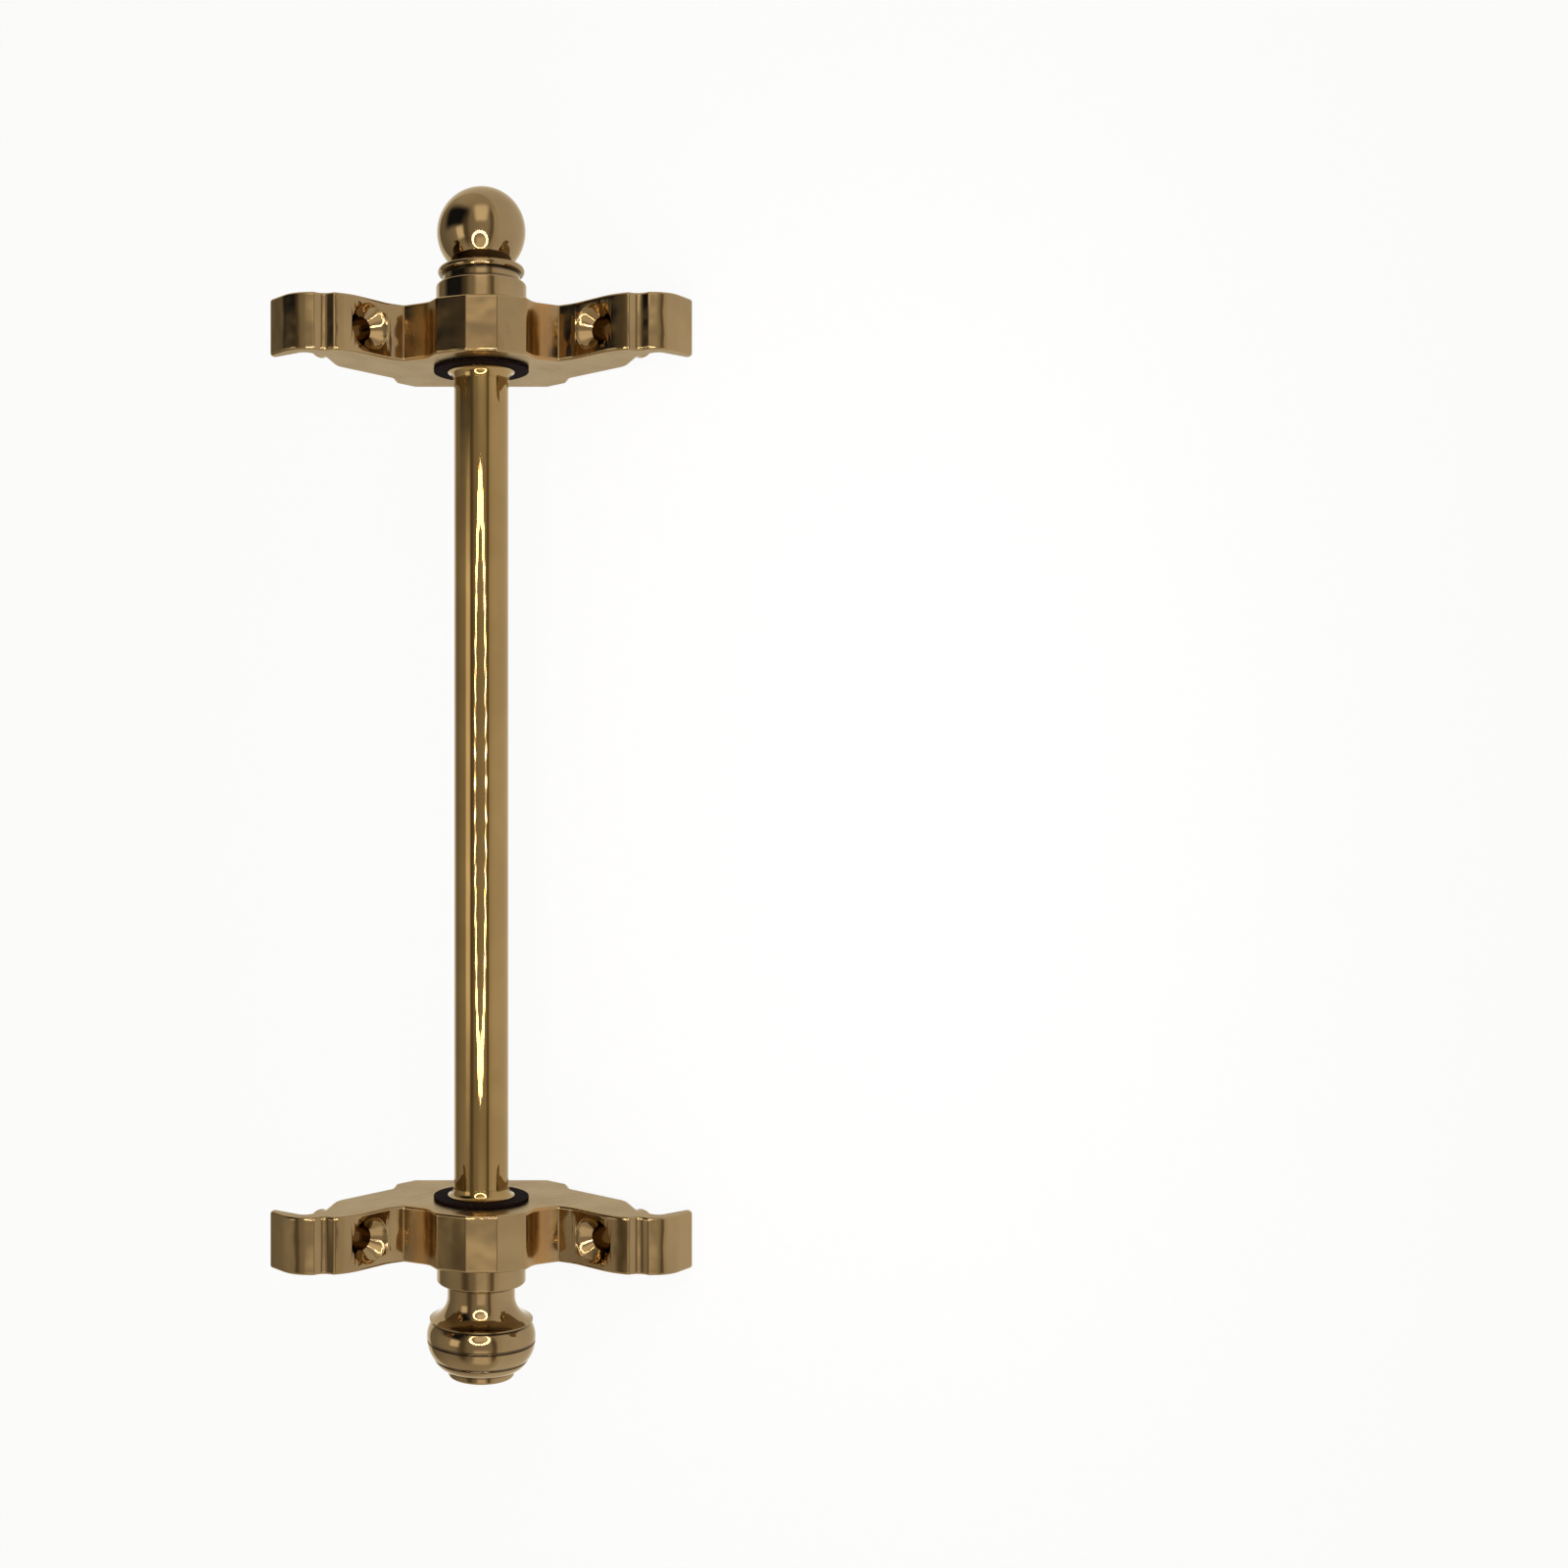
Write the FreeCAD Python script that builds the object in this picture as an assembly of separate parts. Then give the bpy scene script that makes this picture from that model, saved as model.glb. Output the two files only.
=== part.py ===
import FreeCAD, Part
import math
import os

# sizes in mm; X runs along the rod, Z is up from the tread, Y points at the riser
rod_d = 12.7            # outside diameter of the rod tube
rod_wall = 1.2          # wall of the tube
span = 194.0            # clear length of rod between the two brackets
bracket_t = 13.0        # bracket thickness along the rod
standoff = 26.0         # rod axis to the tread, and to the riser
back_gap = 3.2          # hollow in the back of each wing, off the tread or riser
screw_offset = 27.0     # screw hole from the rod axis, along the tread or riser
screw_seat = 8.5        # face round the screw hole, from the rod axis toward the tread or riser
ear_l = 15.5            # ear tip beyond the screw hole
hole_d = 5.5            # screw hole
sink_d = 10.6           # mouth of the countersink
sink_step = 0.5         # straight rim above the cone of the countersink
pillar_d = 8.5          # pillar round the screw hole behind the wing, down to the tread or riser
boss_front = 17.0       # front of the boss from the rod axis
boss_half = 10.3        # half width of the boss
boss_face = 3.5         # half width of its flat front facet
boss_step = 3.0         # how far the two side facets slope back
valley_u = 17.8         # valley between boss and wing, sideways from the rod axis
valley_v = 7.2          # the same valley, forward of the rod axis
plateau = 20.4          # flat back of the bracket behind the rod axis
edge_ease = 0.75        # rounding of the bracket edges
eye_clear = 0.08        # radial clearance of the rod in the bracket eye
swivel_play = 0.15      # end clearance on each side of the bracket
washer_d = 22.2         # dark washer
washer_t = 0.7          # washer thickness
collar_flare = 1.45     # wide end of the collar beyond the rod
collar_sweep = 3.2      # radius of the slow curve at its thin end
collar_rim = 0.2        # straight rim of its wide end
collar_lip = 0.15       # thickness of its thin end
seat_gap = 0.05         # finial face to the end of the rod when screwed home
ball_h = 29.0           # length of the ball finial
ball_d = 20.8           # its ball
flange_d = 21.2         # its flange against the bracket
beehive_h = 28.0        # length of the beehive finial
belly_d = 25.4          # its widest ring
insert_l = 16.0         # insert length
insert_wall = 1.1       # wall of the insert round the stud
thread_clear = 0.05     # radial clearance of the thread in the insert
stud_in = 12.0          # stud length inside the rod
stud_up = 9.0           # stud length inside the finial

# values that follow from the sizes
rod_r = rod_d / 2
tube_r = rod_r - rod_wall
stud_r = tube_r - insert_wall - thread_clear
inner_x = span / 2
outer_x = inner_x + bracket_t
finial_x = outer_x + swivel_play
rod_end = finial_x - seat_gap
washer_x = inner_x - swivel_play - washer_t
rod_y = screw_offset
rod_z = standoff
wing_t = standoff - screw_seat
c45 = math.sqrt(0.5)

os.makedirs("parts", exist_ok=True)


def wing(p, s):
    # p along the wing from the rod axis, s toward the wall, to sideways and depth
    return ((p + s) * c45, (s - p) * c45)


def spot(u, v, x):
    # u sideways and v toward the corner, turned 45 degrees into the stair corner
    return FreeCAD.Vector(x, rod_y + (v - u) * c45, rod_z - (u + v) * c45)


def rounded(corners, x):
    # closed outline of straight lines with every corner (u, v, radius) rounded
    starts = []
    made = []
    for i, (u, v, r) in enumerate(corners):
        here = spot(u, v, x)
        back = (spot(*corners[i - 1][:2], x) - here).normalize()
        ahead = (spot(*corners[(i + 1) % len(corners)][:2], x) - here).normalize()
        half = back.getAngle(ahead) / 2
        start = here + back * (r / math.tan(half))
        stop = here + ahead * (r / math.tan(half))
        mid = here + (back + ahead).normalize() * (r / math.sin(half) - r)
        made.append(Part.Arc(start, mid, stop).toShape())
        starts.append((start, stop))
    for i, (start, stop) in enumerate(starts):
        made.append(Part.makeLine(starts[i - 1][1], start))
    return Part.Wire(Part.__sortEdges__(made))


def ear(a, b):
    # a beyond the screw hole in parts of the ear, b from the screw seat to the wall
    return wing(screw_offset + ear_l * a, screw_seat + wing_t * b)


def outline(x):
    # boss facets, cove, valley, screw seat, flute and curled ear of one wing, then its hollow back and pad
    cove_u = boss_half + (valley_u - boss_half) * 0.27
    cove_v = valley_v + (boss_front - valley_v) * 0.28
    valley_p = (valley_u + valley_v) * c45
    land = screw_offset - valley_p
    hollow = standoff - back_gap
    half = [
        (boss_face, -boss_front, boss_half * 0.1),
        (boss_half, boss_step - boss_front, boss_half * 0.16),
        (cove_u, -cove_v, boss_half * 0.45),
        (valley_u, -valley_v, boss_half * 0.06),
        (*wing(valley_p + land * 0.4, screw_seat), land * 0.8),
        (*ear(0.36, 0), ear_l * 0.9),
        (*ear(0.6, 0.1), ear_l * 0.065),
        (*ear(0.665, 0.245), wing_t * 0.13),
        (*ear(0.815, 0.265), ear_l * 0.065),
        (*ear(1.045, 0.488), ear_l * 0.5),
        (*ear(1, 0.95), ear_l * 0.06),
        (*ear(0.955, 1), ear_l * 0.06),
        (*ear(0.865, 1), ear_l * 0.06),
        (*ear(0.775, 0.5), ear_l * 0.1),
        (*ear(0.45, 0.48), ear_l * 0.26),
        (*wing(screw_offset - ear_l * 0.115, hollow), ear_l * 0.4),
        (*wing(plateau * 0.37, hollow), back_gap * 0.6),
        (*wing(plateau * 0.17, standoff), plateau * 0.05),
        (standoff / c45 - plateau, plateau, plateau * 0.06),
    ]
    other = [(-u, v, r) for u, v, r in reversed(half)]
    return rounded(half + other, x)


def countersink(x, side):
    # through hole, cone and straight rim, square to the tread or riser
    u, v = wing(screw_offset, screw_seat)
    point = spot(side * u, v, x)
    way = (spot(side, 1, x) - spot(0, 0, x)).normalize()
    above = point - way * sink_d
    rim = Part.makeCylinder(sink_d / 2, sink_d + sink_step, above, way)
    cone = Part.makeCone(sink_d / 2, hole_d / 2, (sink_d - hole_d) / 2, point + way * sink_step, way)
    hole = Part.makeCylinder(hole_d / 2, sink_d + standoff, above, way)
    return rim.fuse([cone, hole])


def pillar(x, side):
    # round pillar that carries the screw across the hollow back
    way = (spot(side, 1, x) - spot(0, 0, x)).normalize()
    u, v = wing(screw_offset, screw_seat + wing_t * 0.35)
    return Part.makeCylinder(pillar_d / 2, wing_t * 0.65, spot(side * u, v, x), way)


def bracket(x):
    # one thick profile with eased edges, two screw pillars, the eye and both countersunk holes
    along = FreeCAD.Vector(1, 0, 0)
    body = Part.Face(outline(x)).extrude(along * bracket_t)
    rims = [e for e in body.Edges if e.BoundBox.XLength < 0.001]
    body = body.makeFillet(edge_ease, rims)
    start = FreeCAD.Vector(x - bracket_t, rod_y, rod_z)
    eye = Part.makeCylinder(rod_r + eye_clear, bracket_t * 3, start, along)
    mid = x + bracket_t / 2
    body = body.fuse([pillar(mid, 1), pillar(mid, -1)])
    return body.cut([eye, countersink(mid, 1), countersink(mid, -1)])


def turned(path, x, way):
    # half outline of length and radius, turned round the rod axis; way is the outward end
    made = []
    for step in path:
        pts = [FreeCAD.Vector(x + way * h, rod_y, rod_z + r) for h, r in step]
        if len(pts) == 2:
            made.append(Part.makeLine(pts[0], pts[1]))
        else:
            made.append(Part.Arc(*pts).toShape())
    face = Part.Face(Part.Wire(Part.__sortEdges__(made)))
    return face.revolve(FreeCAD.Vector(0, rod_y, rod_z), FreeCAD.Vector(1, 0, 0), 360)


def ring(r_out, r_in, x0, x1):
    # plain ring or tube round the rod axis
    base = FreeCAD.Vector(min(x0, x1), rod_y, rod_z)
    way = FreeCAD.Vector(1, 0, 0)
    whole = Part.makeCylinder(r_out, abs(x1 - x0), base, way)
    if r_in <= 0:
        return whole
    return whole.cut(Part.makeCylinder(r_in, abs(x1 - x0), base, way))


def sized(path, length, radius):
    # an outline given in fractions, brought to size
    return [[(h * length, r * radius) for h, r in step] for step in path]


def socket_path(first):
    # blind socket for the stud, back to the first point of the outline
    return [
        [(stud_up, 0), (stud_up, stud_r)],
        [(stud_up, stud_r), (0, stud_r)],
        [(0, stud_r), first],
    ]


def ball_finial():
    # flange, neck, bead and ball, turned from one bar
    rf = flange_d / 2
    rb = ball_d / 2
    mid = ball_h - rb
    stem = [
        [(0, 0.953), (0.005, 0.986), (0.017, 1)],
        [(0.017, 1), (0.19, 1)],
        [(0.19, 1), (0.21, 0.976), (0.219, 0.92)],
        [(0.219, 0.92), (0.219, 0.858)],
        [(0.219, 0.858), (0.286, 0.858)],
        [(0.286, 0.858), (0.286, 0.896)],
        [(0.286, 0.896), (0.319, 0.958), (0.352, 0.896)],
        [(0.352, 0.896), (0.357, 0.66)],
    ]
    stem = sized(stem, ball_h, rf)
    neck = stem[-1][-1]
    join = (mid - math.sqrt(rb * rb - neck[1] * neck[1]), neck[1])
    ball = [
        [neck, join],
        [join, (mid, rb), (ball_h, 0)],
        [(ball_h, 0), (stud_up, 0)],
    ]
    return turned(stem + ball + socket_path(stem[0][0]), finial_x, 1)


def beehive_finial():
    # flange, waisted neck flaring to a lip, and three ridges, turned from one bar
    path = [
        [(0, 0.78), (0.005, 0.807), (0.018, 0.819)],
        [(0.018, 0.819), (0.193, 0.819)],
        [(0.193, 0.819), (0.213, 0.803), (0.221, 0.756)],
        [(0.221, 0.756), (0.246, 0.622)],
        [(0.246, 0.622), (0.336, 0.622)],
        [(0.336, 0.622), (0.4546, 0.7142), (0.521, 0.949)],
        [(0.521, 0.949), (0.534, 0.949)],
        [(0.534, 0.949), (0.543, 0.905)],
        [(0.543, 0.905), (0.618, 0.988), (0.684, 0.999)],
        [(0.684, 0.999), (0.6965, 0.955), (0.709, 0.992)],
        [(0.709, 0.992), (0.779, 0.961), (0.839, 0.89)],
        [(0.839, 0.89), (0.849, 0.842), (0.8625, 0.858)],
        [(0.8625, 0.858), (0.911, 0.768), (0.939, 0.63)],
        [(0.939, 0.63), (0.939, 0.61)],
        [(0.939, 0.61), (0.975, 0.61)],
        [(0.975, 0.61), (0.993, 0.594), (1, 0.551)],
        [(1, 0.551), (1, 0)],
    ]
    path = sized(path, beehive_h, belly_d / 2)
    path.append([(beehive_h, 0), (stud_up, 0)])
    return turned(path + socket_path(path[0][0]), -finial_x, -1)


def collar(way):
    # trumpet collar, wide end on the washer: a slow curve leaves the rod and a quick one turns out to the rim
    rc = rod_r + collar_flare
    thin = rod_r + collar_lip
    slow = math.radians(24)
    quick = math.radians(85)
    left = rc - thin - collar_sweep * (1 - math.cos(slow))
    bend = left / (math.cos(slow) - math.cos(quick))
    reach = collar_sweep * math.sin(slow)
    tight = bend * (math.sin(quick) - math.sin(slow))
    length = collar_rim + tight + reach

    def on_slow(angle):
        return (length - collar_sweep * math.sin(angle), thin + collar_sweep * (1 - math.cos(angle)))

    def on_quick(angle):
        h, r = on_slow(slow)
        return (h - bend * (math.sin(angle) - math.sin(slow)), r + bend * (math.cos(slow) - math.cos(angle)))

    path = [
        [(0, rod_r), (0, rc)],
        [(0, rc), (collar_rim, rc)],
        [(collar_rim, rc), on_quick((slow + quick) / 2), on_slow(slow)],
        [on_slow(slow), on_slow(slow / 2), (length, thin)],
        [(length, thin), (length, rod_r)],
        [(length, rod_r), (0, rod_r)],
    ]
    return turned(path, way * washer_x, -way)


def washer(way):
    return ring(washer_d / 2, rod_r, way * washer_x, way * (washer_x + washer_t))


def insert(way):
    # plug pressed into the tube, drilled for the stud
    return ring(tube_r, stud_r + thread_clear, way * rod_end, way * (rod_end - insert_l))


def stud(way):
    return ring(stud_r, 0, way * (finial_x - stud_in), way * (finial_x + stud_up))


nodes = {
    "rod_tube": ring(rod_r, tube_r, -rod_end, rod_end),
    "ball_end_insert": insert(1),
    "beehive_end_insert": insert(-1),
    "ball_end_collar": collar(1),
    "beehive_end_collar": collar(-1),
    "ball_end_washer": washer(1),
    "beehive_end_washer": washer(-1),
    "ball_end_bracket": bracket(inner_x),
    "beehive_end_bracket": bracket(-outer_x),
    "ball_finial": ball_finial(),
    "ball_finial_stud": stud(1),
    "beehive_finial": beehive_finial(),
    "beehive_finial_stud": stud(-1),
}
for name, shape in nodes.items():
    shape.exportStep("parts/" + name + ".step")
    print(name, shape.isValid(), len(shape.Solids), round(shape.Volume, 1), shape.BoundBox)
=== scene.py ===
import math
import bmesh
import bpy
import numpy as np
from mathutils import Matrix, Vector


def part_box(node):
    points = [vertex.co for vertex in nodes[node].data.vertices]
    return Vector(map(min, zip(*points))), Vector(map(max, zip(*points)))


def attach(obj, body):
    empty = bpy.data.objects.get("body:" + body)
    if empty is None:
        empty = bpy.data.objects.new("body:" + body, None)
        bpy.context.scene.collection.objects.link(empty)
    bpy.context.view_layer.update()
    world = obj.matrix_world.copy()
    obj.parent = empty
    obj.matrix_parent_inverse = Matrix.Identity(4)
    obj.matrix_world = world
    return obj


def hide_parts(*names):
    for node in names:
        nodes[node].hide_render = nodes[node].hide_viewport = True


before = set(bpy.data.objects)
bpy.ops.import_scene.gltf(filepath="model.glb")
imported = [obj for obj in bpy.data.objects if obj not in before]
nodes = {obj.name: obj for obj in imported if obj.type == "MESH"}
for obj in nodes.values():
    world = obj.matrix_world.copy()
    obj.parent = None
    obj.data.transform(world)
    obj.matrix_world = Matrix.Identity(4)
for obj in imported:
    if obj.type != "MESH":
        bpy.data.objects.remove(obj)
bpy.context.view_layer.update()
scene = bpy.context.scene
scene.view_settings.view_transform = "Standard"
mm = 0.001
tiny = 0.0005 * mm  # points nearer than this are one point
sharpAt = math.radians(28)  # edges that bend more than this stay crisp
print("frame loaded,", len(nodes), "pieces")


def hexColour(code):  # sRGB hex to linear with alpha
    c = np.array([int(code[i:i + 2], 16) for i in (1, 3, 5)]) / 255
    linear = np.where(c <= 0.04045, c / 12.92, ((c + 0.055) / 1.055) ** 2.4)
    return (*linear.tolist(), 1.0)


def addNode(tree, kind, inputs=None, **settings):  # an input is a socket to link from, or a fixed value
    n = tree.nodes.new(kind)
    for name, value in settings.items():
        setattr(n, name, value)
    for name, value in (inputs or {}).items():
        if isinstance(value, bpy.types.NodeSocket):
            tree.links.new(value, n.inputs[name])
        else:
            n.inputs[name].default_value = value
    return n


def newMaterial(name):
    m = bpy.data.materials.new(name)
    m.use_nodes = True
    m.node_tree.nodes.clear()
    return m, m.node_tree


# the rod axis, read from the tube's own box
tubeLow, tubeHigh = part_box("rod_tube")
tubeRadius = (tubeHigh.z - tubeLow.z) / 2
axisY = (tubeLow.y + tubeHigh.y) / 2
axisZ = (tubeLow.z + tubeHigh.z) / 2
axisPoint = Vector((0, axisY, axisZ))
towardCamera = Vector((0, -1, 1)).normalized()  # square onto the corner that the brackets sit in
imageUp = Vector((1, 0, 0))
imageRight = (-towardCamera).cross(imageUp)
facing = Matrix((imageRight, imageUp, towardCamera)).transposed().to_4x4()

cameraLook = dict(focalPx=1850, pxPerMm=4.37, rodPx=491.4, midPx=800.0, imagePx=1601, sensor=36)


def makeCamera(c):  # looks straight at the rod; the lens shift puts the rod left of the middle
    cam = bpy.data.cameras.new("photoCamera")
    cam.sensor_width = c["sensor"]
    cam.lens = c["sensor"] * c["focalPx"] / c["imagePx"]
    cam.shift_x = (c["imagePx"] / 2 - c["rodPx"]) / c["imagePx"]
    cam.shift_y = (c["midPx"] - c["imagePx"] / 2) / c["imagePx"]
    distance = c["focalPx"] / c["pxPerMm"] * mm
    o = bpy.data.objects.new("photoCamera", cam)
    o.matrix_world = Matrix.Translation(axisPoint + towardCamera * distance) @ facing
    scene.collection.objects.link(o)
    scene.camera = o


makeCamera(cameraLook)
print("camera set")


def newPiece(name, verts, faces, material):  # arrays to a closed mesh, poles merged, faces turned outward
    mesh = bpy.data.meshes.new(name)
    mesh.from_pydata(verts, [], faces)
    bm = bmesh.new()
    bm.from_mesh(mesh)
    bmesh.ops.remove_doubles(bm, verts=bm.verts, dist=tiny)
    bmesh.ops.recalc_face_normals(bm, faces=bm.faces)
    bm.to_mesh(mesh)
    bm.free()
    mesh.shade_smooth()
    mesh.set_sharp_from_angle(angle=sharpAt)
    mesh.materials.append(material)
    o = bpy.data.objects.new(name, mesh)
    scene.collection.objects.link(o)
    return o


def easeEdges(o, width):  # small rounding that polishing leaves on every corner
    b = o.modifiers.new("ease", "BEVEL")
    b.width = width
    b.segments = 3
    b.limit_method = "ANGLE"
    b.angle_limit = sharpAt
    b.harden_normals = True


def place(o, node, body):
    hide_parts(node)
    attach(o, body)


def gridFaces(rows, cols, wrapRows, wrapCols):  # quads of a grid, joined to itself where it wraps
    i = np.arange(rows if wrapRows else rows - 1)
    j = np.arange(cols if wrapCols else cols - 1)
    a, b = np.meshgrid(i, j, indexing="ij")
    a2, b2 = (a + 1) % rows, (b + 1) % cols
    quads = np.stack([a * cols + b, a2 * cols + b, a2 * cols + b2, a * cols + b2], -1)
    return quads.reshape(-1, 4).tolist()


def turned(line, around, closed):  # each point (x, r) goes round the axis: y = r cos t, z = r sin t
    t = np.linspace(0, 2 * np.pi, around, endpoint=False)
    x = np.repeat(line[:, :1], around, 1)
    y = axisY + line[:, 1:] * np.cos(t)
    z = axisZ + line[:, 1:] * np.sin(t)
    verts = np.stack([x, y, z], -1).reshape(-1, 3)
    return verts.tolist(), gridFaces(len(line), around, closed, True)


def arcThrough(p, count):  # circle through three points, swept from the first past the second to the third
    a, b, c = p @ np.array([1, 1j])
    w = (c - a) / (b - a)
    centre = a + (b - a) * (w - abs(w) ** 2) / (2j * w.imag)
    sweep = np.angle((b - centre) / (a - centre)) + np.angle((c - centre) / (b - centre))
    z = centre + (a - centre) * np.exp(1j * sweep * np.linspace(0, 1, count))
    return np.stack([z.real, z.imag], -1)


def profileLine(steps, perArc=18):  # two points make a straight, three an arc, all in one line
    ends = np.array([0, 0.04, 0.5, 0.96, 1])[:, None]  # straights get extra points near both ends
    steps = [np.array(s, float) for s in steps]
    parts = [s[0] + (s[1] - s[0]) * ends if len(s) == 2 else arcThrough(s, perArc) for s in steps]
    line = np.concatenate(parts)
    return line[np.r_[True, np.linalg.norm(np.diff(line, axis=0), axis=1) > tiny]]


def ringSection(x0, x1, inner, outer):  # the four sides of a plain ring's cut face
    corners = [(x0, inner), (x0, outer), (x1, outer), (x1, inner)]
    return profileLine(list(zip(corners, corners[1:] + corners[:1])))[:-1]


# finishes
def lacqueredBrass(name, b):
    # buffed brass under clear lacquer: mirror bright, slightly wavy from the wheel, faint polishing lines
    m, tree = newMaterial(name)
    where = addNode(tree, "ShaderNodeTexCoord").outputs["Object"]
    swirl = addNode(tree, "ShaderNodeTexNoise", {
        "Vector": where, "Scale": 1 / b["wave"], "Detail": 2.0, "Roughness": 0.4})
    drawn = addNode(tree, "ShaderNodeMapping", {"Vector": where, "Scale": [1 / g for g in b["grain"]]})
    lines = addNode(tree, "ShaderNodeTexNoise", {
        "Vector": drawn.outputs[0], "Scale": 1.0, "Detail": 3.0, "Roughness": 0.6})
    tone = addNode(tree, "ShaderNodeMapRange", {
        "Value": swirl.outputs["Fac"], "From Min": 0.35, "From Max": 0.65})
    mix = addNode(tree, "ShaderNodeMix", {
        0: tone.outputs[0], 6: hexColour(b["darker"]), 7: hexColour(b["colour"])}, data_type="RGBA")
    gloss = addNode(tree, "ShaderNodeMapRange", {
        "Value": lines.outputs["Fac"], "From Min": 0.3, "From Max": 0.7,
        "To Min": b["rough"][0], "To Max": b["rough"][1]})
    colour, rough = mix.outputs[2], gloss.outputs[0]
    # painted shade and painted reflection in narrow bands, with satin roughness there
    if "bands" in b:
        colour, rough = satinAndPaintedBands(tree, where, colour, rough, b["bands"])
    bump = addNode(tree, "ShaderNodeBump", {
        "Height": swirl.outputs["Fac"], "Strength": 1.0, "Distance": b["waveHeight"]})
    shader = addNode(tree, "ShaderNodeBsdfPrincipled", {
        "Base Color": colour, "Roughness": rough, "Normal": bump.outputs[0], "Metallic": 1.0,
        "Coat Weight": b["coat"], "Coat Roughness": 0.05, "Specular Tint": hexColour(b["edge"])})
    addNode(tree, "ShaderNodeOutputMaterial", {"Surface": shader.outputs[0]})
    return m


def satinAndPaintedBands(tree, where, colour, rough, n):
    # satin where no wheel reaches, with painted light over the colour there (painted shade in the creases,
    # painted warm reflection in the flutes): soft bands at set places along one direction from the axis
    off = addNode(tree, "ShaderNodeVectorMath", {0: where, 1: axisPoint}, operation="SUBTRACT")
    reach = addNode(tree, "ShaderNodeVectorMath", {0: off.outputs[0], 1: n["along"]}, operation="DOT_PRODUCT")
    shade = None
    for at in n["places"]:
        gap = addNode(tree, "ShaderNodeMath", {0: reach.outputs["Value"], 1: at}, operation="SUBTRACT")
        far = addNode(tree, "ShaderNodeMath", {0: gap.outputs[0]}, operation="ABSOLUTE")
        band = addNode(tree, "ShaderNodeMapRange", {
            "Value": far.outputs[0], "From Min": 0.0, "From Max": n["width"],
            "To Min": n["share"], "To Max": 0.0}, interpolation_type="SMOOTHSTEP")
        if shade:
            both = {0: shade.outputs[0], 1: band.outputs[0]}
            band = addNode(tree, "ShaderNodeMath", both, operation="MAXIMUM")
        shade = band
    # the band's painted colour (crease shade, flute reflection) mixed over the brass
    dull = addNode(tree, "ShaderNodeMix", {
        0: shade.outputs[0], 6: colour, 7: hexColour(n["colour"])}, data_type="RGBA")
    satin = addNode(tree, "ShaderNodeMix", {0: shade.outputs[0], 2: rough, 3: n["rough"]}, data_type="FLOAT")
    return dull.outputs[2], satin.outputs[0]


tubeBrass = lacqueredBrass("lacqueredBrassTube", dict(  # sharpest mirror, faint lines along the rod
    colour="#9a7b43", darker="#8f7039", edge="#e6d3a6", rough=(0.03, 0.06), coat=0.8,
    wave=14 * mm, waveHeight=0.12 * mm, grain=(30 * mm, 0.35 * mm, 0.35 * mm)))
castBrass = lacqueredBrass("buffedCastBrass", dict(  # wavy mirror, satin in the two flutes, with a golden orange painted warm reflection of brass in brass there
    colour="#977c50", darker="#8b7046", edge="#e6d3a6", rough=(0.05, 0.1), coat=0.7,
    wave=11 * mm, waveHeight=0.6 * mm, grain=(0.5 * mm, 4 * mm, 4 * mm),
    # painted warm reflection: a golden orange colour mixed into both flutes, with satin roughness
    bands=dict(along=imageRight, places=(-13.5 * mm, 13.5 * mm), width=5 * mm, share=0.85, rough=0.4,
               colour="#a8793a")))
faceBrass = lacqueredBrass("linishedCastBrass", dict(  # pale and soft, brushed by the belt
    colour="#a89578", darker="#9a866a", edge="#e8dcc4", rough=(0.24, 0.36), coat=0.0,
    wave=9 * mm, waveHeight=0.2 * mm, grain=(4 * mm, 0.4 * mm, 6 * mm)))
plainBrass = lacqueredBrass("machinedBrass", dict(  # bare and dull, fine rings from the lathe
    colour="#a58d58", darker="#98804c", edge="#e6d3a6", rough=(0.2, 0.3), coat=0.0,
    wave=10 * mm, waveHeight=0.01 * mm, grain=(0.3 * mm, 20 * mm, 20 * mm)))
turnedLook = dict(  # polished on the lathe: mirror with fine rings, painted shade darkening the creases
    colour="#967b4f", darker="#8a6f45", edge="#e6d3a6", rough=(0.04, 0.08), coat=0.8,
    wave=10 * mm, waveHeight=0.15 * mm, grain=(0.3 * mm, 20 * mm, 20 * mm))
# painted shade: a near black band along each turned crease, where the lip shadows the groove
paintedCreaseShade = dict(along=imageUp, width=0.6 * mm, share=0.85, rough=0.35, colour="#2a1a08")
rubberLook = dict(colour="#140907", speck=0.6 * mm, rough=(0.8, 0.95), index=1.52, shine=0.05)


def rubberFinish(b):  # black moulded rubber: near black, a dull soft shine
    m, tree = newMaterial("blackRubber")
    where = addNode(tree, "ShaderNodeTexCoord").outputs["Object"]
    speck = addNode(tree, "ShaderNodeTexNoise", {"Vector": where, "Scale": 1 / b["speck"], "Detail": 2.0})
    rough = addNode(tree, "ShaderNodeMapRange", {
        "Value": speck.outputs["Fac"], "To Min": b["rough"][0], "To Max": b["rough"][1]})
    shader = addNode(tree, "ShaderNodeBsdfPrincipled", {
        "Base Color": hexColour(b["colour"]), "Roughness": rough.outputs[0],
        "IOR": b["index"], "Specular IOR Level": b["shine"]})
    addNode(tree, "ShaderNodeOutputMaterial", {"Surface": shader.outputs[0]})
    return m


blackRubber = rubberFinish(rubberLook)
print("finishes made")

# rod: a straight drawn tube, open at both ends
rodTube = dict(wall=1.2 * mm, around=256, ease=0.15 * mm)


def makeRod(r):  # ring section turned round the axis
    line = ringSection(tubeLow.x, tubeHigh.x, tubeRadius - r["wall"], tubeRadius)
    o = newPiece("rodTube", *turned(line, r["around"], True), tubeBrass)
    easeEdges(o, r["ease"])
    place(o, "rod_tube", "rod")


makeRod(rodTube)
print("rod made")

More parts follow.
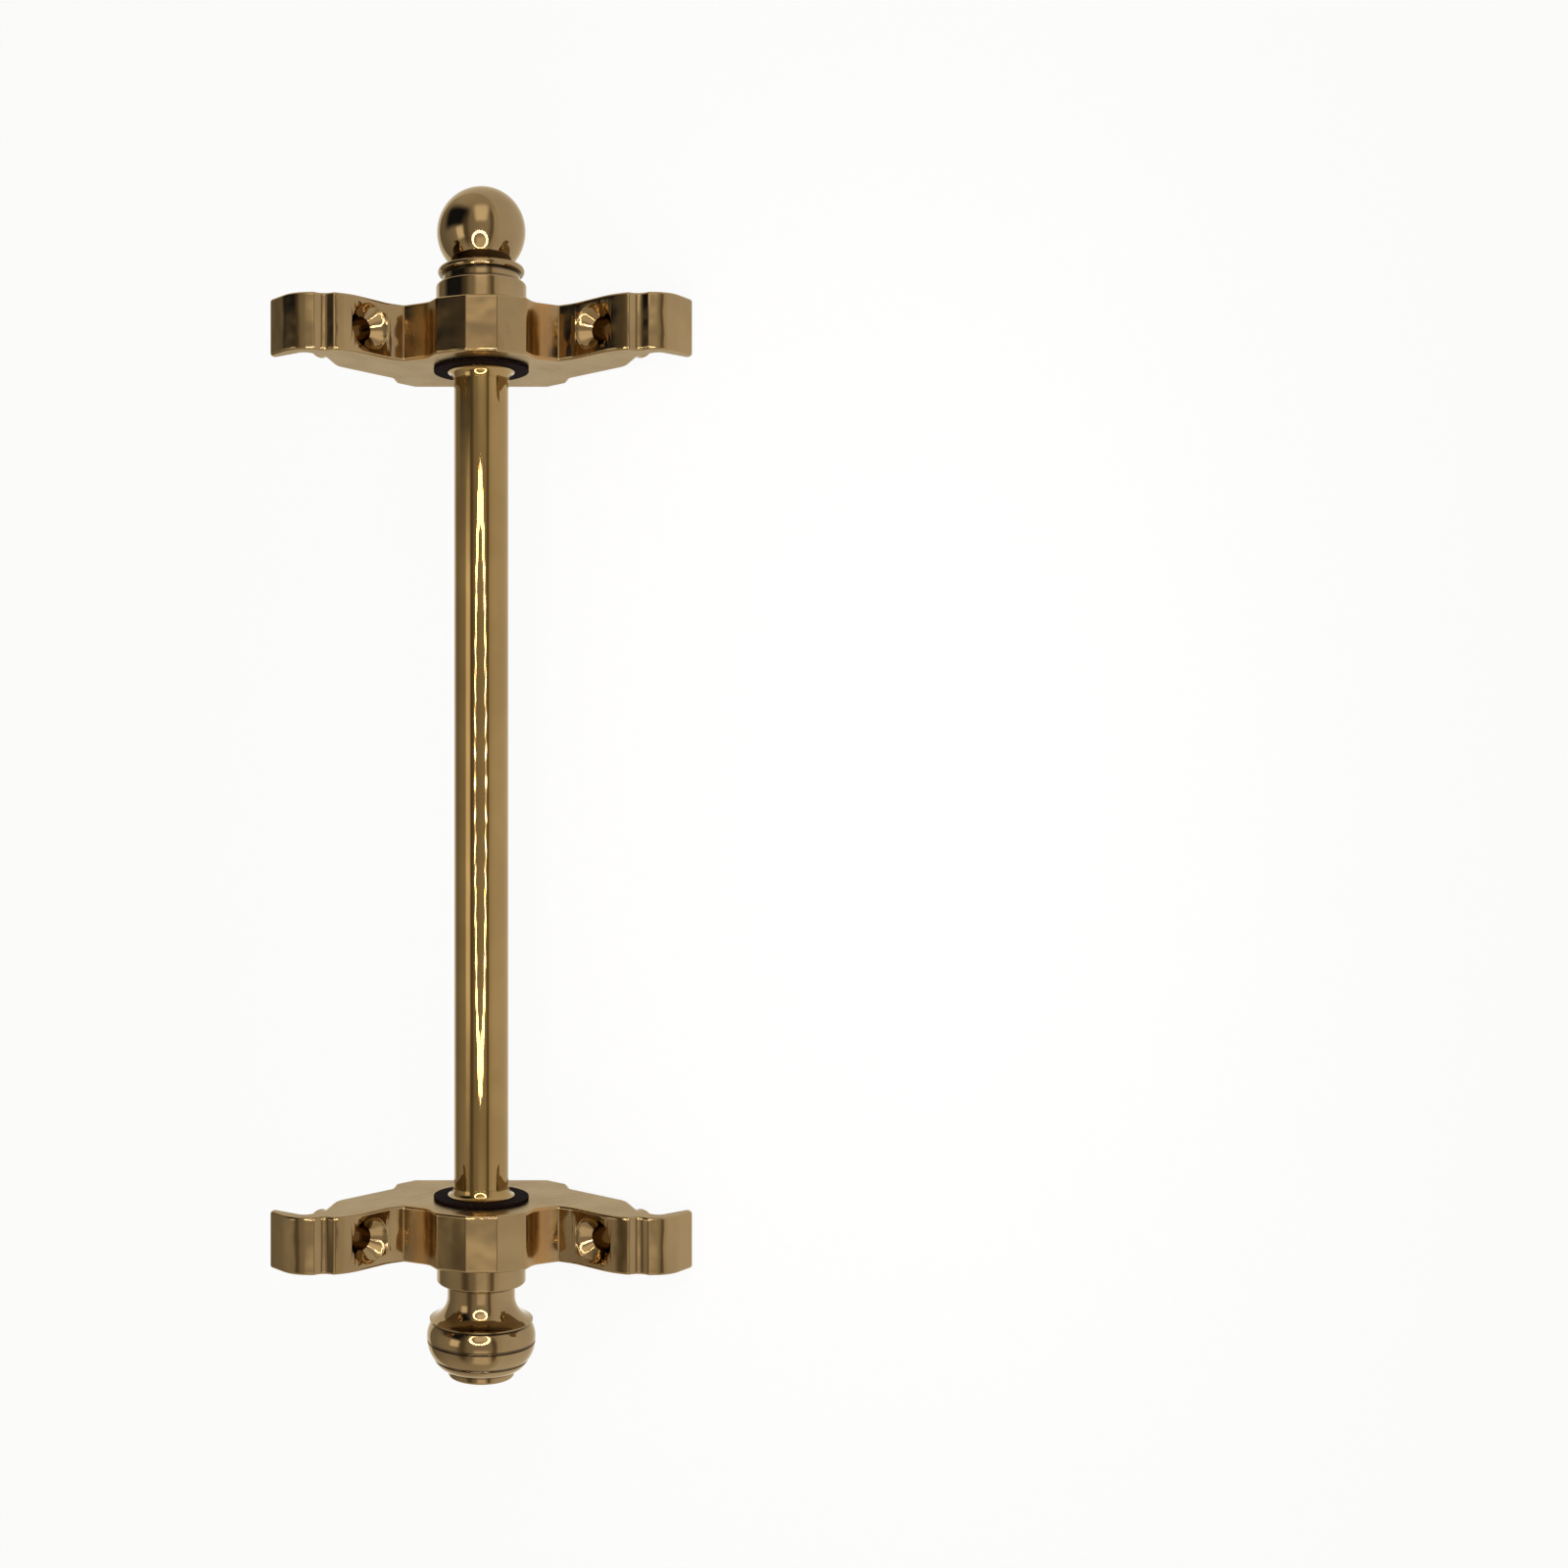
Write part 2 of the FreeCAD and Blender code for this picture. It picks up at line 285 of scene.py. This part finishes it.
# finials: (along, radius) in parts of the finial's length and widest radius, from the bracket outward
finialCut = dict(around=192, ease=0.12 * mm, stud=4.05 * mm, socket=9.05 * mm)
ballFinial = dict(node="ball_finial", body="ball_top", way=1, ball=0.9811,
                  creases=(0.222, 0.283, 0.357), stem=[
    [(0, 0.953), (0.005, 0.986), (0.017, 1)],
    [(0.017, 1), (0.19, 1)],
    [(0.19, 1), (0.21, 0.976), (0.219, 0.92)],
    [(0.219, 0.92), (0.219, 0.858)],
    [(0.219, 0.858), (0.286, 0.858)],
    [(0.286, 0.858), (0.286, 0.896)],
    [(0.286, 0.896), (0.319, 0.958), (0.352, 0.896)],
    [(0.352, 0.896), (0.357, 0.66)],
])
beehiveFinial = dict(node="beehive_finial", body="beehive_top", way=-1,
                     creases=(0.235, 0.541, 0.6965, 0.849, 0.938), stem=[
    [(0, 0.78), (0.005, 0.807), (0.018, 0.819)],
    [(0.018, 0.819), (0.193, 0.819)],
    [(0.193, 0.819), (0.213, 0.803), (0.221, 0.756)],
    [(0.221, 0.756), (0.246, 0.622)],
    [(0.246, 0.622), (0.336, 0.622)],
    [(0.336, 0.622), (0.4546, 0.7142), (0.521, 0.949)],
    [(0.521, 0.949), (0.534, 0.949)],
    [(0.534, 0.949), (0.543, 0.905)],
    [(0.543, 0.905), (0.618, 0.988), (0.684, 0.999)],
    [(0.684, 0.999), (0.6965, 0.955), (0.709, 0.992)],
    [(0.709, 0.992), (0.779, 0.961), (0.839, 0.89)],
    [(0.839, 0.89), (0.849, 0.842), (0.8625, 0.858)],
    [(0.8625, 0.858), (0.911, 0.768), (0.939, 0.63)],
    [(0.939, 0.63), (0.939, 0.61)],
    [(0.939, 0.61), (0.975, 0.61)],
    [(0.975, 0.61), (0.993, 0.594), (1, 0.551)],
    [(1, 0.551), (1, 0)],
])


def makeFinial(f, cut):  # socket for the stud, then the turned stem, then the ball where there is one
    low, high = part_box(f["node"])
    length = high.x - low.x
    radius = (high.z - low.z) / 2
    steps = [np.array(s, float) * (length, radius) for s in f["stem"]]
    if "ball" in f:
        r = f["ball"] * radius
        mid = length - r
        neck = steps[-1][-1]
        join = (mid - math.sqrt(r * r - neck[1] ** 2), neck[1])
        half = math.acos((mid - join[0]) / r) / 2
        steps.append([neck, join])
        steps.append([join, (mid + r * math.sin(half), r * math.cos(half)), (length, 0)])
    deep, wide = cut["socket"], cut["stud"]
    socket = [[(deep, 0), (deep, wide)], [(deep, wide), (0, wide)], [(0, wide), steps[0][0]]]
    line = profileLine(socket + steps)
    start = low.x if f["way"] > 0 else high.x
    line[:, 0] = start + f["way"] * line[:, 0]
    # painted shade laid along the creases at these places
    places = [start + f["way"] * length * c for c in f["creases"]]
    creases = dict(paintedCreaseShade, places=places)
    finish = lacqueredBrass(f["node"] + "PolishedBrass", dict(turnedLook, bands=creases))
    name = f["node"].split("_")[0] + "Finial"
    o = newPiece(name, *turned(line, cut["around"], False), finish)
    easeEdges(o, cut["ease"])
    place(o, f["node"], f["body"])


makeFinial(ballFinial, finialCut)
makeFinial(beehiveFinial, finialCut)
print("finials made")

# collars and washers at both ends of the rod
collarShape = dict(rim=0.2 * mm, lip=0.15 * mm, sweep=3.2 * mm, slow=24, quick=85, around=192, ease=0.06 * mm)
washerShape = dict(around=128, ease=0.15 * mm)


def makeCollar(c, end, way):  # trumpet: a slow arc leaves the rod level, a quick one turns out to the rim
    low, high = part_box(end + "_end_collar")
    wide = (high.z - low.z) / 2
    thin = tubeRadius + c["lip"]
    h = high.x - low.x
    slow, quick = math.radians(c["slow"]), math.radians(c["quick"])
    at = np.array([slow, slow / 2])
    join, onSlow = np.stack([h - c["sweep"] * np.sin(at), thin + c["sweep"] * (1 - np.cos(at))], -1)
    bend = (wide - join[1]) / (math.cos(slow) - math.cos(quick))
    mid = (slow + quick) / 2
    onQuick = join + bend * np.array([math.sin(slow) - math.sin(mid), math.cos(slow) - math.cos(mid)])
    rim = (c["rim"], wide)
    line = profileLine([[(0, tubeRadius), (0, wide)], [(0, wide), rim], [rim, onQuick, join],
                        [join, onSlow, (h, thin)], [(h, thin), (h, tubeRadius)],
                        [(h, tubeRadius), (0, tubeRadius)]])[:-1]
    line[:, 0] = (high.x if way > 0 else low.x) - way * line[:, 0]
    o = newPiece(end + "Collar", *turned(line, c["around"], True), tubeBrass)
    easeEdges(o, c["ease"])
    place(o, end + "_end_collar", "rod")


def makeWasher(w, end):  # ring section turned round the axis
    low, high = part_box(end + "_end_washer")
    line = ringSection(low.x, high.x, tubeRadius, (high.z - low.z) / 2)
    o = newPiece(end + "Washer", *turned(line, w["around"], True), blackRubber)
    easeEdges(o, w["ease"])
    place(o, end + "_end_washer", "rod")


for end, way in (("ball", 1), ("beehive", -1)):
    makeCollar(collarShape, end, way)
    makeWasher(washerShape, end)
print("collars and washers made")

# studs and inserts, seen when a finial is unscrewed
threadShape = dict(pitch=1.25 * mm, depth=0.55 * mm, around=64, perPitch=16, runOut=1.2 * mm, endDepth=0.7)


def makeStud(s, end):  # r = crest less a triangle wave that climbs one pitch a turn, fading out at both ends
    low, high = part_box(end + "_finial_stud")
    crest = (high.z - low.z) / 2
    x = np.linspace(low.x, high.x, int((high.x - low.x) / s["pitch"] * s["perPitch"]))[:, None]
    t = np.linspace(0, 2 * np.pi, s["around"], endpoint=False)[None, :]
    phase = (x / s["pitch"] - t / (2 * np.pi)) % 1
    fade = np.clip(np.minimum(x - low.x, high.x - x) / s["runOut"], 0, 1)
    r = crest - s["depth"] * ((1 - fade) * s["endDepth"] + fade * np.abs(2 * phase - 1))
    r = np.concatenate([np.zeros_like(r[:1]), r, np.zeros_like(r[:1])])
    x = np.concatenate([x[:1], x, x[-1:]]) + np.zeros_like(r)
    verts = np.stack([x, axisY + r * np.cos(t), axisZ + r * np.sin(t)], -1).reshape(-1, 3)
    o = newPiece(end + "Stud", verts.tolist(), gridFaces(len(r), s["around"], False, True), plainBrass)
    place(o, end + "_finial_stud", end + "_stud")


for end in ("ball", "beehive"):
    makeStud(threadShape, end)
    insert = nodes[end + "_end_insert"]
    insert.data.materials.clear()
    insert.data.materials.append(plainBrass)
print("studs made")

# brackets: cast in one piece, buffed all round, the two flat ends linished
bracketFinish = dict(mergeAt=0.002 * mm, flatWithin=math.radians(0.05), flatEnd=0.999)


def makeBracket(b, end):  # merged copy of the solid, flats joined so that the shading follows the true curves
    mesh = nodes[end + "_end_bracket"].data.copy()
    bm = bmesh.new()
    bm.from_mesh(mesh)
    bmesh.ops.remove_doubles(bm, verts=bm.verts, dist=b["mergeAt"])
    bmesh.ops.dissolve_limit(bm, angle_limit=b["flatWithin"], verts=bm.verts, edges=bm.edges)
    bm.to_mesh(mesh)
    bm.free()
    mesh.shade_smooth()
    mesh.set_sharp_from_angle(angle=sharpAt)
    mesh.materials.clear()
    mesh.materials.append(castBrass)
    mesh.materials.append(faceBrass)
    normals = np.zeros(len(mesh.polygons) * 3, np.float32)
    mesh.polygons.foreach_get("normal", normals)
    ends = np.abs(normals.reshape(-1, 3)[:, 0]) > b["flatEnd"]
    mesh.polygons.foreach_set("material_index", ends.astype(np.int32))
    o = bpy.data.objects.new(end + "Bracket", mesh)
    scene.collection.objects.link(o)
    w = o.modifiers.new("flats", "WEIGHTED_NORMAL")
    w.keep_sharp = True
    place(o, end + "_end_bracket", end + "_bracket")


for end in ("ball", "beehive"):
    makeBracket(bracketFinish, end)
print("brackets made")


def stageThing(name, verts, faces, material, where=None):  # floor, lamp or panel, never part of the object
    mesh = bpy.data.meshes.new(name)
    mesh.from_pydata(verts, [], faces)
    mesh.materials.append(material)
    o = bpy.data.objects.new(name, mesh)
    if where:
        o.matrix_world = where
        o.visible_camera = False
    scene.collection.objects.link(o)


# floor, lights and the room around
floorLook = dict(half=3.0, colour="#f6f6f6", ownWhite=0.92)


def makeFloor(f):  # pale board: to the eye and in the metal mostly plain white, the rest is lit paint
    m, tree = newMaterial("paleMattPaint")
    path = addNode(tree, "ShaderNodeLightPath").outputs
    eye = {0: path["Is Camera Ray"], 1: path["Is Glossy Ray"]}
    eye = addNode(tree, "ShaderNodeMath", eye, operation="ADD", use_clamp=True)
    seen = {0: eye.outputs[0], 1: path["Is Transmission Ray"]}
    seen = addNode(tree, "ShaderNodeMath", seen, operation="ADD", use_clamp=True)
    share = addNode(tree, "ShaderNodeMath", {0: seen.outputs[0], 1: f["ownWhite"]}, operation="MULTIPLY")
    paint = addNode(tree, "ShaderNodeBsdfDiffuse", {"Color": hexColour(f["colour"])})
    white = addNode(tree, "ShaderNodeEmission", {"Color": (1, 1, 1, 1), "Strength": 1.0})
    mix = addNode(tree, "ShaderNodeMixShader", {
        0: share.outputs[0], 1: paint.outputs[0], 2: white.outputs[0]})
    addNode(tree, "ShaderNodeOutputMaterial", {"Surface": mix.outputs[0]})
    h = f["half"]
    stageThing("paleFloor", [(-h, -h, 0), (h, -h, 0), (h, h, 0), (-h, h, 0)], [(0, 1, 2, 3)], m)


makeFloor(floorLook)

ringLamp = dict(distance=150 * mm, along=90 * mm, across=62 * mm, tube=9 * mm, left=10 * mm, points=480,
                lamps=40, gap=0.4, low=1.5, high=34.0, colour="#fffaf2")


def makeRingLamp(r):  # flat ring between two ovals of points, as bright as a wave with one crest a lamp
    t = np.linspace(0, 2 * np.pi, r["points"], endpoint=False)
    rim = [np.stack([(r["across"] + e) * np.cos(t), (r["along"] + e) * np.sin(t), 0 * t], -1)
           for e in (-r["tube"], r["tube"])]
    m, tree = newMaterial("ringLampDiffuser")
    where = addNode(tree, "ShaderNodeTexCoord").outputs["Object"]
    spot = addNode(tree, "ShaderNodeSeparateXYZ", {"Vector": where}).outputs
    angle = addNode(tree, "ShaderNodeMath", {0: spot["Y"], 1: spot["X"]}, operation="ARCTAN2")
    turns = addNode(tree, "ShaderNodeMath", {0: angle.outputs[0], 1: r["lamps"]}, operation="MULTIPLY")
    wave = addNode(tree, "ShaderNodeMath", {0: turns.outputs[0]}, operation="COSINE")
    level = addNode(tree, "ShaderNodeMapRange", {
        "Value": wave.outputs[0], "From Min": r["gap"], "From Max": 1.0,
        "To Min": r["low"], "To Max": r["high"]})
    glow = addNode(tree, "ShaderNodeEmission", {
        "Color": hexColour(r["colour"]), "Strength": level.outputs[0]})
    addNode(tree, "ShaderNodeOutputMaterial", {"Surface": glow.outputs[0]})
    at = axisPoint + towardCamera * r["distance"] - imageRight * r["left"]
    stageThing("ringLamp", np.concatenate(rim).tolist(), gridFaces(2, len(t), False, True), m,
               Matrix.Translation(at) @ facing)


makeRingLamp(ringLamp)

# soft panels: turn is the angle over the rod from the camera toward the back, rise the angle along the rod
clothFull = 0.4  # part of a panel, from its middle, where the cloth is full
overhead = dict(name="overheadBox", turn=58, rise=0, distance=0.8, along=0.55, across=0.4,
                glow="#fffaf2", radiance=1.6)
upperBox = dict(name="upperBox", turn=0, rise=40, distance=0.9, along=0.9, across=0.6,
                glow="#fffaf2", radiance=1.6)
lowerBox = dict(name="lowerBox", turn=0, rise=-40, distance=0.9, along=0.9, across=0.6,
                glow="#fffaf2", radiance=1.3)
darkCard = dict(name="darkCard", turn=74, rise=36, distance=0.75, along=0.76, across=1.1,
                glow="#b6c4e8", radiance=0.04)


def makePanel(p):  # flat rectangle facing the middle of the rod, its cloth thins to nothing at the edges
    a, b = math.radians(p["turn"]), math.radians(p["rise"])
    level = towardCamera * math.cos(a) - imageRight * math.sin(a)
    way = level * math.cos(b) + imageUp * math.sin(b)
    up = imageUp * math.cos(b) - level * math.sin(b)
    m, tree = newMaterial(p["name"] + "Cloth")
    where = addNode(tree, "ShaderNodeTexCoord").outputs["Object"]
    size = addNode(tree, "ShaderNodeMapping", {
        "Vector": where, "Scale": (2 / p["along"], 2 / p["across"], 1)})
    spot = addNode(tree, "ShaderNodeSeparateXYZ", {"Vector": size.outputs[0]}).outputs
    fades = {}
    for i, axis in enumerate(("X", "Y")):
        off = addNode(tree, "ShaderNodeMath", {0: spot[axis]}, operation="ABSOLUTE")
        fades[i] = addNode(tree, "ShaderNodeMapRange", {
            "Value": off.outputs[0], "From Min": clothFull, "From Max": 1.0, "To Min": 1.0, "To Max": 0.0},
            interpolation_type="SMOOTHSTEP").outputs[0]
    full = addNode(tree, "ShaderNodeMath", fades, operation="MULTIPLY")
    glow = addNode(tree, "ShaderNodeEmission", {"Color": hexColour(p["glow"]), "Strength": p["radiance"]})
    clear = addNode(tree, "ShaderNodeBsdfTransparent")
    cloth = addNode(tree, "ShaderNodeMixShader", {
        0: full.outputs[0], 1: clear.outputs[0], 2: glow.outputs[0]})
    addNode(tree, "ShaderNodeOutputMaterial", {"Surface": cloth.outputs[0]})
    flat = np.array([(-1, -1, 0), (1, -1, 0), (1, 1, 0), (-1, 1, 0)]) * (p["along"] / 2, p["across"] / 2, 0)
    turn = Matrix((up, way.cross(up), way)).transposed().to_4x4()
    stageThing(p["name"], flat.tolist(), [(0, 1, 2, 3)], m,
               Matrix.Translation(axisPoint + way * p["distance"]) @ turn)


for panel in (overhead, upperBox, lowerBox, darkCard):
    makePanel(panel)

# room: angle over the rod, from the front horizon (0) past the camera (0.25) to the back horizon (1)
roomLook = dict(ends="#e1dccf", endsFrom=0.45, endsTo=0.95, stops=[
    (0.0, "#f4efe4"), (0.05, "#f1ede4"), (0.078, "#a39b8e"), (0.1, "#857b6c"), (0.122, "#a8a297"),
    (0.15, "#d0ccc2"), (0.25, "#d0ccc2"), (0.33, "#c2beb5"), (0.41, "#b4b0a7"), (0.45, "#8b8478"),
    (0.48, "#7c7466"), (0.515, "#8f897e"), (0.56, "#c4c0b6"), (0.66, "#c8c4b9"), (0.78, "#b8b4aa"),
    (0.88, "#a39f95"), (1.0, "#98948a")])


def makeRoom(r):  # plain room with two dim strips along the rod, lighter low in front and past both ends
    world = bpy.data.worlds.new("room")
    scene.world = world
    world.use_nodes = True
    tree = world.node_tree
    tree.nodes.clear()
    where = addNode(tree, "ShaderNodeTexCoord").outputs["Generated"]
    look = addNode(tree, "ShaderNodeSeparateXYZ", {"Vector": where}).outputs
    front = addNode(tree, "ShaderNodeMath", {0: look["Y"], 1: -1}, operation="MULTIPLY")
    angle = addNode(tree, "ShaderNodeMath", {0: look["Z"], 1: front.outputs[0]}, operation="ARCTAN2")
    part = addNode(tree, "ShaderNodeMath", {0: angle.outputs[0], 1: math.pi}, operation="DIVIDE")
    ramp = addNode(tree, "ShaderNodeValToRGB", {"Fac": part.outputs[0]})
    knots = ramp.color_ramp.elements
    for at, colour in r["stops"][1:-1]:
        knots.new(at).color = hexColour(colour)
    knots[0].color = hexColour(r["stops"][0][1])
    knots[-1].color = hexColour(r["stops"][-1][1])
    along = addNode(tree, "ShaderNodeMath", {0: look["X"]}, operation="ABSOLUTE")
    share = addNode(tree, "ShaderNodeMapRange", {
        "Value": along.outputs[0], "From Min": r["endsFrom"], "From Max": r["endsTo"]},
        interpolation_type="SMOOTHSTEP")
    mix = addNode(tree, "ShaderNodeMix", {
        0: share.outputs[0], 6: ramp.outputs[0], 7: hexColour(r["ends"])}, data_type="RGBA")
    glow = addNode(tree, "ShaderNodeBackground", {"Color": mix.outputs[2], "Strength": 1.0})
    addNode(tree, "ShaderNodeOutputWorld", {"Surface": glow.outputs[0]})


makeRoom(roomLook)
print("floor and lights set")
